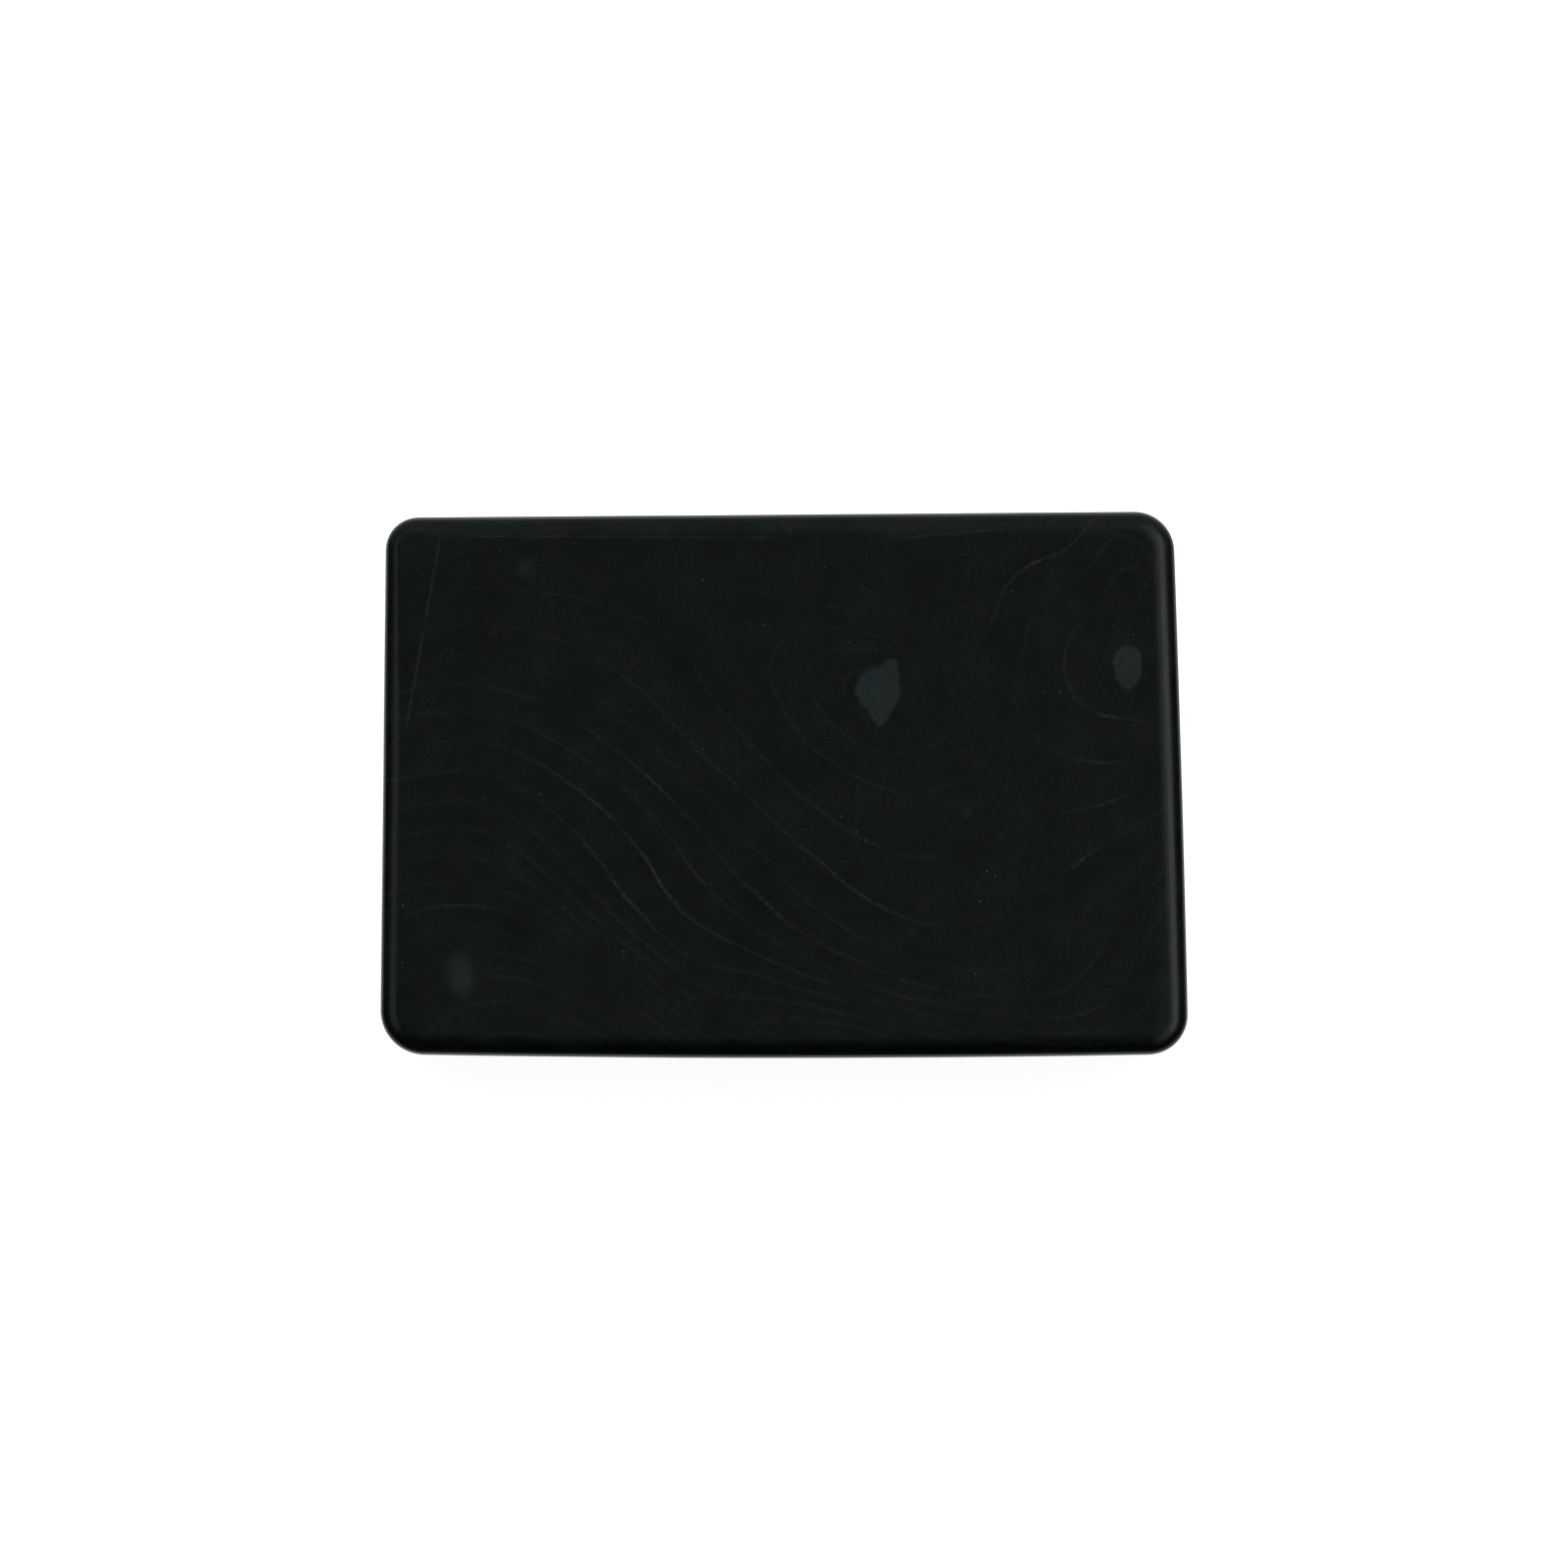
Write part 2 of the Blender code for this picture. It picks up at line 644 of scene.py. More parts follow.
@dataclass
class Pits:
    """Small pits where grains broke out, cut into the polished surface in loose groups.

    crowded is where a group begins and is full, and smallness is the power that makes
    the small grains common. flattest and roundest are the ends of their proportions.
    """

    density: float = 26_000.0
    smallest: float = 0.07 * MM
    largest: float = 0.24 * MM
    group_size: float = 11 * MM
    seed: int = 7
    crowded: tuple[float, float] = (0.5, 0.75)
    smallness: float = 3.0
    flattest: Place = (0.7, 0.7, 0.6)
    roundest: Place = (1.5, 1.1, 0.9)

    def tree(self) -> Tree:
        """Return the tree that scatters grains over the stone and cuts them out."""
        sheet = GroupSheet("broken_out_grains", "GeometryNodeTree")
        bench = sheet.bench
        body = sheet.takes("Geometry", "Geometry")
        density, smallest, largest, group_size = (
            sheet.takes(name) for name in ("Density", "Smallest", "Largest", "Group Size")
        )
        seed = sheet.takes("Seed", "Int")
        polished, inside = (sheet.takes(name, "Material") for name in ("Polished", "Inside"))

        dressed = bench.wired("GeometryNodeSetMaterial", {"Geometry": body, "Material": polished})
        place = bench.add("GeometryNodeInputPosition").outputs[0]
        spread = bench.scaled(place, bench.maths("DIVIDE", 1.0, group_size))
        crowding = bench.step(bench.noise(spread, 1.0, 1.0), *self.crowded)
        scatter = bench.wired("GeometryNodeDistributePointsOnFaces", {
            "Mesh": dressed.outputs["Geometry"],
            "Density": bench.maths("MULTIPLY", density, crowding), "Seed": seed,
        })
        chance = bench.wired("FunctionNodeRandomValue", {"Seed": seed}, data_type="FLOAT")
        rarely = bench.maths("POWER", chance.outputs[1], self.smallness)
        extra = bench.maths("SUBTRACT", largest, smallest)
        radius = bench.maths("MULTIPLY_ADD", rarely, extra, smallest)
        squat = bench.wired("FunctionNodeRandomValue", {
            0: self.flattest, 1: self.roundest, "Seed": bench.maths("ADD", seed, 1.0),
        }, data_type="FLOAT_VECTOR")
        grain = bench.wired("GeometryNodeMeshIcoSphere", {"Radius": 1.0, "Subdivisions": 2})
        placed = bench.wired("GeometryNodeInstanceOnPoints", {
            "Points": scatter.outputs["Points"], "Instance": grain.outputs["Mesh"],
            "Rotation": scatter.outputs["Rotation"],
            "Scale": bench.scaled(squat.outputs[0], radius),
        })
        # Both finishes are set before the cut, which keeps each on its own faces.
        grains = bench.wired("GeometryNodeRealizeInstances", {0: placed.outputs["Instances"]})
        broken = bench.wired("GeometryNodeSetMaterial", {"Geometry": grains.outputs[0],
                                                         "Material": inside})
        cut = bench.wired("GeometryNodeMeshBoolean", {
            "Mesh 1": dressed.outputs["Geometry"], "Mesh 2": broken.outputs["Geometry"],
        }, operation="DIFFERENCE", solver="MANIFOLD")
        joined = bench.wired("GeometryNodeRealizeInstances", {0: cut.outputs["Mesh"]})
        sheet.gives("Geometry", joined.outputs["Geometry"], "Geometry")
        return sheet.tree


# ---------------------------------------------------------------- what is in the rock


class Tone(Enum):
    """The colours in the rock, and the painted shadow beside its layers, as linear red, green and
    blue.
    """

    GREEN_BLACK = (0.0036, 0.0090, 0.0069)
    BROWN_BLACK = (0.0073, 0.0068, 0.0062)
    PALE_LAYER = (0.038, 0.047, 0.044)
    EYE_GREY = (0.0262, 0.0370, 0.0325)
    EYE_BLUE = (0.0215, 0.0370, 0.0385)
    PALE_GRAIN = (0.100, 0.110, 0.104)
    WORN_EDGE = (0.040, 0.043, 0.040)
    # Painted shadow: the dark beside the layers' lines, not a colour of the rock.
    BESIDE_LAYER = (0.0015, 0.0038, 0.0030)

    @property
    def rgba(self) -> tuple[float, float, float, float]:
        """Return the tone as an opaque colour."""
        return (*self.value, 1.0)


@dataclass(frozen=True)
class Swell:
    """Where the layers bulge: its middle, how many layers high, its reach and its turn.

    Every length in the rock is in millimetres from the middle of the upper face.
    """

    centre: Place
    height: float
    reach: Place
    turn: float = 0.0

    def inputs(self) -> dict[str, object]:
        """Return the values that the swell group takes, by input name."""
        turn = math.radians(self.turn)
        return {"Centre": self.centre, "Reach": self.reach, "Turn": turn, "Height": self.height}


@dataclass(frozen=True)
class WornLine:
    """A straight line on the upper face whose polish is rubbed: its ends and how much."""

    start: tuple[float, float]
    end: tuple[float, float]
    worn: float


@dataclass(frozen=True)
class Layering:
    """How the thin layers run through the rock, and where they show best."""

    slope: Place = (-0.155, 0.199, 0.14)
    start: float = -4.09
    swells: tuple[Swell, ...] = (
        Swell((-36.2, -21.4, 0.0), -6.99, (26.1, 44.9, 30.0), 7.7),
        Swell((10.7, 10.9, 0.0), 3.52, (6.8, 10.8, 10.0), 60.2),
        Swell((38.0, 13.7, 0.0), 9.77, (13.7, 23.2, 18.0), 37.2),
        Swell((41.8, 22.0, 0.0), 4.83, (6.0, 26.0, 14.0), 21.2),
        Swell((29.6, -11.3, 0.0), 13.76, (23.7, 52.6, 34.0), 65.1),
        Swell((-2.7, -31.6, 0.0), 3.17, (27.1, 6.0, 20.0), -47.2),
        Swell((33.6, -28.9, 0.0), 4.96, (60.0, 10.5, 24.0), -16.3),
    )
    bright: tuple[Swell, ...] = (
        Swell((-2.0, -4.0, 0.0), 0.07, (34.0, 18.0, 14.0), -38.0),
        Swell((2.0, 5.0, 0.0), 0.08, (13.0, 9.0, 9.0), -42.0),
        Swell((-22.4, -0.5, 0.0), 0.20, (7.0, 1.3, 3.0), -43.0),
        Swell((-13.9, -10.6, 0.0), 0.46, (4.2, 1.3, 3.0), -50.0),
        Swell((-6.5, -16.6, 0.0), 0.18, (6.0, 1.3, 3.0), -28.0),
        Swell((-19.0, -11.3, 0.0), 0.36, (5.2, 1.2, 3.0), -49.0),
        Swell((-14.6, 0.9, 0.0), 0.24, (2.8, 1.3, 3.0), -50.0),
        Swell((-2.2, -13.0, 0.0), 0.34, (3.0, 1.2, 3.0), -42.0),
        Swell((-10.2, -9.1, 0.0), 0.24, (2.0, 1.1, 3.0), -50.0),
        Swell((5.9, -17.3, 0.0), 0.32, (2.2, 1.3, 3.0), -42.0),
        Swell((7.6, -10.9, 0.0), 0.32, (5.2, 1.3, 3.0), -33.0),
        Swell((37.6, -2.3, 0.0), 0.30, (3.6, 1.2, 3.0), 4.0),
        Swell((34.8, 2.8, 0.0), 0.34, (2.2, 1.2, 3.0)),
        Swell((35.6, 7.5, 0.0), 0.34, (2.2, 1.0, 3.0)),
        Swell((30.4, 13.6, 0.0), 0.16, (3.6, 4.6, 4.0)),
        Swell((28.0, 24.4, 0.0), 0.34, (6.2, 2.2, 3.0), 38.0),
        Swell((36.5, 24.4, 0.0), 0.20, (3.6, 2.6, 3.0), 50.0),
        Swell((33.6, -8.2, 0.0), 0.36, (2.6, 1.2, 3.0), 3.0),
        Swell((-36.0, -13.4, 0.0), 0.22, (5.6, 1.3, 3.0)),
        Swell((12.8, 9.2, 0.0), -0.16, (3.2, 3.4, 4.0), 0.0),
    )


@dataclass(frozen=True)
class RockEffects:
    """The effects that the stone's finishes share, each as one shader node group.

    solid_part and aside are in line widths: how much of a layer's line is at full
    strength, and how far beside it its painted shadow line runs. bends holds the size
    and the reach, in millimetres, of each way in which places wander. fading is how a
    worn line's ends come in, and smudged is how much of the polish varies by wide smudges.
    """

    layering: Layering = field(default_factory=Layering)
    slowest_pace: float = 0.03
    solid_part: float = 0.25
    aside: float = 1.6
    eye_rim: float = 0.3
    bends: tuple[tuple[float, float], ...] = ((9.0, 1.1), (1.6, 0.22), (0.4, 0.20))
    brown: Patches = Patches(0.26, 4.0, 0.60, 0.53, 0.67)
    clouds: Patches = Patches(0.16, 5.0, 0.68, 0.3, 0.7, 0.62, 1.40)
    grains: Patches = Patches(3.2, 3.0, 0.7, 0.25, 0.75, 0.5, 1.6)
    speck_groups: Patches = Patches(0.16, 2.0, 0.5, 0.46, 0.6, 0.1, 1.0)
    speck_edge: tuple[float, float] = (0.06, 0.16)
    fading: tuple[float, float] = (-1.0, 2.0)
    smudged: float = 0.65

    @cached_property
    def swell(self) -> Tree:
        """Return the group for a bell-shaped swell: its height at a place, and its slope."""
        sheet = GroupSheet("swell", "ShaderNodeTree")
        bench = sheet.bench
        place, centre, reach = (
            sheet.takes(name, "Vector") for name in ("Place", "Centre", "Reach")
        )
        turn, height = sheet.takes("Turn"), sheet.takes("Height")
        inward = bench.wired("ShaderNodeVectorRotate", {
            "Vector": bench.vectors("SUBTRACT", place, centre),
            "Angle": bench.maths("MULTIPLY", turn, -1.0),
        }, rotation_type="Z_AXIS")
        part = bench.vectors("DIVIDE", inward.outputs[0], reach)
        distance = bench.vectors("DOT_PRODUCT", part, part, number=True)
        fall = bench.maths("EXPONENT", bench.maths("MULTIPLY", distance, -1.0))
        rise = bench.maths("MULTIPLY", fall, height)
        pull = bench.maths("MULTIPLY", rise, -2.0)
        steep = bench.scaled(bench.vectors("DIVIDE", part, reach), pull)
        outward = bench.wired(
            "ShaderNodeVectorRotate", {"Vector": steep, "Angle": turn}, rotation_type="Z_AXIS"
        )
        sheet.gives("Height", rise)
        sheet.gives("Slope", outward.outputs[0], "Vector")
        return sheet.tree

    @cached_property
    def layer_height(self) -> Tree:
        """Return the group that tells which layer a place is in, and how fast they pass."""
        sheet = GroupSheet("layer_height", "ShaderNodeTree")
        bench = sheet.bench
        place = sheet.takes("Place", "Vector")
        ramp = bench.vectors("DOT_PRODUCT", place, self.layering.slope, number=True)
        height = bench.maths("ADD", ramp, self.layering.start)
        slope: object = self.layering.slope
        for spec in self.layering.swells:
            node = bench.group(self.swell, Place=place, **spec.inputs())
            height = bench.maths("ADD", height, node.outputs["Height"])
            slope = bench.vectors("ADD", slope, node.outputs["Slope"])
        sheet.gives("Height", height)
        sheet.gives("Slope", slope, "Vector")
        return sheet.tree

    @cached_property
    def layer_lines(self) -> Tree:
        """Return the group that draws one thin line where each layer meets the surface, and a
        painted shadow line beside it on one side.
        """
        sheet = GroupSheet("layer_lines", "ShaderNodeTree")
        bench = sheet.bench
        place, normal = sheet.takes("Place", "Vector"), sheet.takes("Normal", "Vector")
        width = sheet.takes("Width", value=0.31)
        layer = bench.group(self.layer_height, Place=place)
        height, slope = layer.outputs["Height"], layer.outputs["Slope"]
        outward = bench.scaled(normal, bench.vectors("DOT_PRODUCT", slope, normal, number=True))
        along = bench.vectors("SUBTRACT", slope, outward)
        pace = bench.vectors("LENGTH", along, number=True)
        steep = bench.maths("MAXIMUM", pace, self.slowest_pace)
        level = bench.maths("ROUND", height)
        away = bench.maths("DIVIDE", bench.maths("SUBTRACT", height, level), steep)
        reach = bench.maths("ABSOLUTE", away)
        line = bench.step(reach, bench.maths("MULTIPLY", width, self.solid_part), width, 1.0, 0.0)
        beside = bench.maths("ABSOLUTE", bench.maths("MULTIPLY_ADD", width, self.aside, away))
        shadow = bench.step(beside, 0.0, width, 1.0, 0.0)
        sheet.gives("Line", line)
        sheet.gives("Shadow", shadow)
        sheet.gives("Level", level)
        sheet.gives("Height", height)
        return sheet.tree

    @cached_property
    def eye(self) -> Tree:
        """Return the group that turns a field of bells into grey lumps with a paler rim."""
        sheet = GroupSheet("rock_eye", "ShaderNodeTree")
        bench = sheet.bench
        near = sheet.takes("Nearness")
        outer = sheet.takes("Outer", value=0.36)
        inner = sheet.takes("Inner", value=0.62)
        mask = bench.step(near, outer, inner)
        core = bench.maths("ADD", inner, self.eye_rim)
        middle = bench.step(near, inner, core, 1.0, 0.0)
        sheet.gives("Mask", mask)
        sheet.gives("Rim", bench.maths("MULTIPLY", mask, middle))
        return sheet.tree

    @cached_property
    def bent_place(self) -> Tree:
        """Return the group that bends places a little, so that layers and lumps wander."""
        sheet = GroupSheet("bent_place", "ShaderNodeTree")
        bench = sheet.bench
        place = sheet.takes("Place", "Vector")
        bent = place
        for size, reach in self.bends:
            wander = bench.noise(place, 1.0 / size, 1.0, colour=True)
            centred = bench.vectors("SUBTRACT", wander, MID_NOISE)
            bent = bench.vectors("ADD", bent, bench.scaled(centred, reach))
        sheet.gives("Place", bent, "Vector")
        return sheet.tree

    @cached_property
    def mottle(self) -> Tree:
        """Return the group for the dense ground of the rock: green-black with brown patches."""
        sheet = GroupSheet("rock_mottle", "ShaderNodeTree")
        bench = sheet.bench
        place = sheet.takes("Place", "Vector")
        brown = bench.patchy(place, self.brown)
        ground = bench.blend(brown, Tone.GREEN_BLACK.rgba, Tone.BROWN_BLACK.rgba)
        grains = bench.patchy(place, self.grains)
        shade = bench.maths("MULTIPLY", bench.patchy(place, self.clouds), grains)
        sheet.gives("Colour", bench.scaled(ground, shade), "Color")
        sheet.gives("Grain", grains)
        return sheet.tree

    @cached_property
    def specks(self) -> Tree:
        """Return the group for rare pale mineral grains."""
        sheet = GroupSheet("mineral_specks", "ShaderNodeTree")
        bench = sheet.bench
        place = sheet.takes("Place", "Vector")
        spacing, rarity = (sheet.takes(name, value=0.9) for name in ("Spacing", "Rarity"))
        spread = bench.scaled(place, bench.maths("DIVIDE", 1.0, spacing))
        cells = bench.wired("ShaderNodeTexVoronoi", {"Vector": spread, "Scale": 1.0})
        lot = bench.vectors("DOT_PRODUCT", cells.outputs["Color"], (1.0, 0.0, 0.0), number=True)
        chosen = bench.step(lot, rarity, 1.0)
        dot = bench.step(cells.outputs["Distance"], *self.speck_edge, 1.0, 0.0)
        shown = bench.maths("MULTIPLY", chosen, bench.patchy(spread, self.speck_groups))
        sheet.gives("Mask", bench.maths("MULTIPLY", dot, shown))
        return sheet.tree

    @cached_property
    def worn_border(self) -> Tree:
        """Return the group for a thin worn line where a shaved flat meets the upper face."""
        sheet = GroupSheet("worn_border", "ShaderNodeTree")
        bench = sheet.bench
        place, start, along = (
            sheet.takes(name, "Vector") for name in ("Place", "Start", "Along")
        )
        length, width = sheet.takes("Length"), sheet.takes("Width", value=0.24)
        offset = bench.vectors("SUBTRACT", place, start)
        travel = bench.vectors("DOT_PRODUCT", offset, along, number=True)
        aside = bench.vectors("SUBTRACT", offset, bench.scaled(along, travel))
        near = bench.step(bench.vectors("LENGTH", aside, number=True), 0.0, width, 1.0, 0.0)
        begun = bench.step(travel, *self.fading)
        left = bench.step(bench.maths("SUBTRACT", length, travel), *self.fading)
        sheet.gives("Mask", bench.maths("MULTIPLY", near, bench.maths("MULTIPLY", begun, left)))
        return sheet.tree

    @cached_property
    def polish(self) -> Tree:
        """Return the group for the polish: how rough it is, and the fine relief left in it."""
        sheet = GroupSheet("polish", "ShaderNodeTree")
        bench = sheet.bench
        place = sheet.takes("Place", "Vector")
        smooth = sheet.takes("Smoothest", value=0.19)
        dull = sheet.takes("Dullest", value=0.27)
        smudges = bench.maths("MULTIPLY", bench.noise(place, 0.11, 3.0, 0.6), self.smudged)
        fine = bench.noise(place, 1.7, 2.0)
        mixed = bench.maths("MULTIPLY_ADD", fine, 1 - self.smudged, smudges)
        sheet.gives("Roughness", bench.step(mixed, 1 - self.smudged, self.smudged, smooth, dull))
        sheet.gives("Relief", bench.noise(place, 2.6, 4.0, 0.65))
        return sheet.tree


# ---------------------------------------------------------------- finishes


@dataclass(frozen=True)
class RockFinish:
    """What the finishes of this rock share: its thickness and the effects in it."""

    thickness: float
    effects: RockEffects

    def start(self, name: str) -> tuple[bpy.types.Material, NodeBench, Socket]:
        """Begin a material.

        Args:
            name: The material's name.

        Returns:
            The material, its bench, and the place in the rock, which is in millimetres
            from the middle of the upper face.
        """
        material = bpy.data.materials.new(name)
        material.use_nodes = True
        bench = NodeBench(material.node_tree)
        spot = bench.add("ShaderNodeTexCoord").outputs["Object"]
        lowered = bench.vectors("SUBTRACT", spot, (0.0, 0.0, self.thickness))
        return material, bench, bench.scaled(lowered, 1 / MM)

    @staticmethod
    def complete(material: bpy.types.Material, bench: NodeBench, colour: Socket,
                 roughness: object, relief: dict[str, object]) -> bpy.types.Material:
        """Give a material its surface.

        Args:
            material: The material.
            bench: Its bench.
            colour: The rock's colour.
            roughness: How dull the surface is.
            relief: The bump's inputs, by name.

        Returns:
            The material.
        """
        normal = bench.wired("ShaderNodeBump", relief).outputs["Normal"]
        shader = material.node_tree.nodes["Principled BSDF"]
        fed = {"Base Color": colour, "Roughness": roughness, "Normal": normal, "IOR": 1.5}
        for name, value in fed.items():
            bench.feed(shader.inputs[name], value)
        return material


@dataclass(frozen=True)
class PolishedRock(RockFinish):
    """The polished near-black rock, with its layers, eyes, grains and worn borders.

    borders are where its polish is worn, and eyes are where its grey lumps lie. The
    patches say how each pattern varies, and the numbers how strongly each one counts.
    """

    borders: tuple[WornLine, ...] = (
        WornLine((-38.2, 27.4), (-41.9, 6.5), 0.62),
        WornLine((-35.5, 27.6), (-1.0, 27.4), 0.38),
        WornLine((12.0, 27.3), (26.5, 28.6), 0.5),
    )
    eyes: tuple[Swell, ...] = (
        Swell((10.4, 10.5, 0.0), 1.36, (2.5, 2.4, 3.0)),
        Swell((11.9, 12.7, 0.0), 0.62, (0.8, 1.5, 2.0), -8.0),
        Swell((10.7, 7.6, 0.0), 0.60, (1.0, 1.6, 2.0), 5.0),
        Swell((38.1, 12.7, 0.0), 1.20, (1.6, 2.1, 3.0), 3.0),
        Swell((38.2, 14.4, 0.0), 0.55, (1.5, 1.1, 2.0)),
        Swell((37.3, 17.2, 0.0), 0.45, (1.2, 1.2, 2.0)),
        Swell((-35.9, -21.1, 0.0), 0.595, (3.0, 5.1, 3.5), 4.0),
        Swell((9.4, 15.6, 0.0), 0.44, (2.4, 2.0, 2.5)),
        Swell((-28.5, 24.1, 0.0), 0.51, (2.8, 2.4, 2.0)),
        Swell((-32.3, 16.9, 0.0), 0.46, (2.0, 1.8, 2.0)),
        Swell((20.2, -3.1, 0.0), 0.49, (1.4, 1.9, 2.0)),
        Swell((37.6, 23.8, 0.0), 0.45, (1.0, 1.3, 2.0), -20.0),
        Swell((40.1, 22.2, 0.0), 0.45, (0.8, 1.6, 2.0)),
        Swell((-14.0, 7.0, -17.5), 1.10, (2.6, 3.0, 3.0), 30.0),
        Swell((22.0, -11.0, -18.0), 0.95, (3.0, 2.0, 2.4), 10.0),
    )
    dashes: Patches = Patches(0.17, 2.0, 0.5, 0.36, 0.64, 0.15, 1.9)
    beads: Patches = Patches(2.4, 2.0, 0.7, 0.36, 0.66, 0.3, 1.7)
    banding: Patches = Patches(1.3, 1.0, 0.5, 0.3, 0.7, 0.86, 1.12)
    dense: Patches = Patches(0.55, 2.0, 0.6, 0.46, 0.60, 0.0, 0.45)
    bluish: Patches = Patches(0.36, 2.0, 0.5, 0.5, 0.62)
    clouded: Patches = Patches(1.1, 3.0, 0.6, 0.3, 0.7, 0.82, 1.12)
    rubbed: Patches = Patches(0.25, 3.0, 0.6, 0.34, 0.60, 0.25, 1.0)
    faint: float = 0.06
    layer_draw: float = 0.37
    layer_range: tuple[float, float] = (0.5, 1.2)
    dense_beside: tuple[float, float] = (0.05, 0.22)
    shadow_share: float = 0.8
    ragged_reach: float = 0.7
    eye_fading: tuple[float, float, float] = (0.4, 1.1, 0.72)
    rim_gain: float = 0.25
    line_dulling: float = 0.12
    grain_relief: float = 0.2
    line_relief: float = 0.6
    relief_strength: float = 0.30
    relief_depth: float = 0.012 * MM

    def bells(self, bench: NodeBench, place: Socket, specs: tuple[Swell, ...],
              total: object) -> Socket:
        """Add up several swells at a place.

        Args:
            bench: The material's bench.
            place: The place in the rock.
            specs: The swells.
            total: What they are added to.

        Returns:
            The sum's socket.
        """
        for spec in specs:
            node = bench.group(self.effects.swell, Place=place, **spec.inputs())
            total = bench.maths("ADD", total, node.outputs["Height"])
        return total

    def line_strength(self, bench: NodeBench, place: Socket, level: Socket) -> Socket:
        """Work out how strongly a layer's line shows.

        Args:
            bench: The material's bench.
            place: The bent place in the rock.
            level: The layer's number.

        Returns:
            The strength's socket.
        """
        drawn = {"W": bench.maths("ADD", level, self.layer_draw)}
        lot = bench.wired("ShaderNodeTexWhiteNoise", drawn, noise_dimensions="1D")
        own = bench.step(lot.outputs["Value"], 0.0, 1.0, *self.layer_range)
        dashed = bench.maths("MULTIPLY", own, bench.patchy(place, self.dashes))
        faint = bench.maths("MULTIPLY", dashed, self.faint)
        strength = self.bells(bench, place, self.effects.layering.bright, faint)
        return bench.maths("MULTIPLY", strength, bench.patchy(place, self.beads))

    def layered(self, bench: NodeBench, place: Socket, colour: Socket) -> tuple[Socket, Socket]:
        """Draw the layers' lines over the ground colour, with a painted shadow beside each line and
        painted shade in blotches near the strong lines.

        Args:
            bench: The material's bench.
            place: The bent place in the rock.
            colour: The ground colour's socket.

        Returns:
            The new colour's socket, and the lines' mask.
        """
        normal = bench.add("ShaderNodeNewGeometry").outputs["Normal"]
        drawn = bench.group(self.effects.layer_lines, Place=place, Normal=normal).outputs
        strength = self.line_strength(bench, place, drawn["Level"])
        band = bench.wired("ShaderNodeCombineXYZ", {"X": drawn["Height"]}).outputs[0]
        colour = bench.scaled(colour, bench.patchy(band, self.banding))
        # Painted shade: a dark shadow line on one side of each layer's line, as if its fine relief
        # were lit from the other side, and dark blotches near the strong lines.
        close = bench.step(strength, *self.dense_beside)
        dense = bench.maths("MULTIPLY", bench.patchy(place, self.dense), close)
        dark = bench.maths("MULTIPLY", drawn["Shadow"], strength)
        dark = bench.maths("MULTIPLY_ADD", dark, self.shadow_share, dense, clamp=True)
        colour = bench.blend(dark, colour, Tone.BESIDE_LAYER.rgba)
        shown = bench.maths("MULTIPLY", drawn["Line"], strength, clamp=True)
        return bench.blend(shown, colour, Tone.PALE_LAYER.rgba), shown

    def eyed(self, bench: NodeBench, place: Socket, colour: Socket) -> Socket:
        """Lay the grey eyes over the rock.

        Args:
            bench: The material's bench.
            place: The place in the rock.
            colour: The colour under them.

        Returns:
            The new colour's socket.
        """
        wander = bench.noise(place, 0.9, 2.0, 0.6, colour=True)
        ragged = bench.scaled(bench.vectors("SUBTRACT", wander, MID_NOISE), self.ragged_reach)
        near = self.bells(bench, bench.vectors("ADD", place, ragged), self.eyes, 0.0)
        eye = bench.group(self.effects.eye, Nearness=near).outputs
        blue = bench.patchy(place, self.bluish)
        tone = bench.blend(blue, Tone.EYE_GREY.rgba, Tone.EYE_BLUE.rgba)
        clouds = bench.patchy(place, self.clouded)
        edged = bench.maths("MULTIPLY_ADD", eye["Rim"], self.rim_gain, clouds)
        strong = bench.step(near, *self.eye_fading, 1.0)
        shaded = bench.scaled(tone, bench.maths("MULTIPLY", edged, strong))
        return bench.blend(eye["Mask"], colour, shaded)

    def bordered(self, bench: NodeBench, place: Socket, colour: Socket) -> Socket:
        """Draw the worn borders of the shaved flats.

        Args:
            bench: The material's bench.
            place: The place in the rock.
            colour: The colour under them.

        Returns:
            The new colour's socket.
        """
        worn = 0.0
        for line in self.borders:
            start, end = Vector(line.start), Vector(line.end)
            along = (end - start).normalized()
            mask = bench.group(
                self.effects.worn_border, Place=place, Start=(*start, 0.0),
                Along=(*along, 0.0), Length=(end - start).length,
            ).outputs["Mask"]
            worn = bench.maths("MAXIMUM", worn, bench.maths("MULTIPLY", mask, line.worn))
        amount = bench.maths("MULTIPLY", worn, bench.patchy(place, self.rubbed))
        return bench.blend(amount, colour, Tone.WORN_EDGE.rgba)

    def material(self) -> bpy.types.Material:
        """Return the finished material."""
        material, bench, place = self.start("polished_dark_stone")
        bent = bench.group(self.effects.bent_place, Place=place).outputs["Place"]
        ground = bench.group(self.effects.mottle, Place=place).outputs
        colour, shown = self.layered(bench, bent, ground["Colour"])
        colour = self.eyed(bench, place, colour)
        colour = self.bordered(bench, place, colour)
        pale = bench.group(self.effects.specks, Place=place).outputs["Mask"]
        colour = bench.blend(pale, colour, Tone.PALE_GRAIN.rgba)
        polish = bench.group(self.effects.polish, Place=place).outputs
        rougher = bench.maths("MULTIPLY_ADD", shown, self.line_dulling, polish["Roughness"])
        relief = bench.maths("MULTIPLY_ADD", ground["Grain"], self.grain_relief, polish["Relief"])
        height = bench.maths("MULTIPLY_ADD", shown, self.line_relief, relief)
        return self.complete(material, bench, colour, rougher, {
            "Strength": self.relief_strength, "Distance": self.relief_depth, "Height": height,
        })


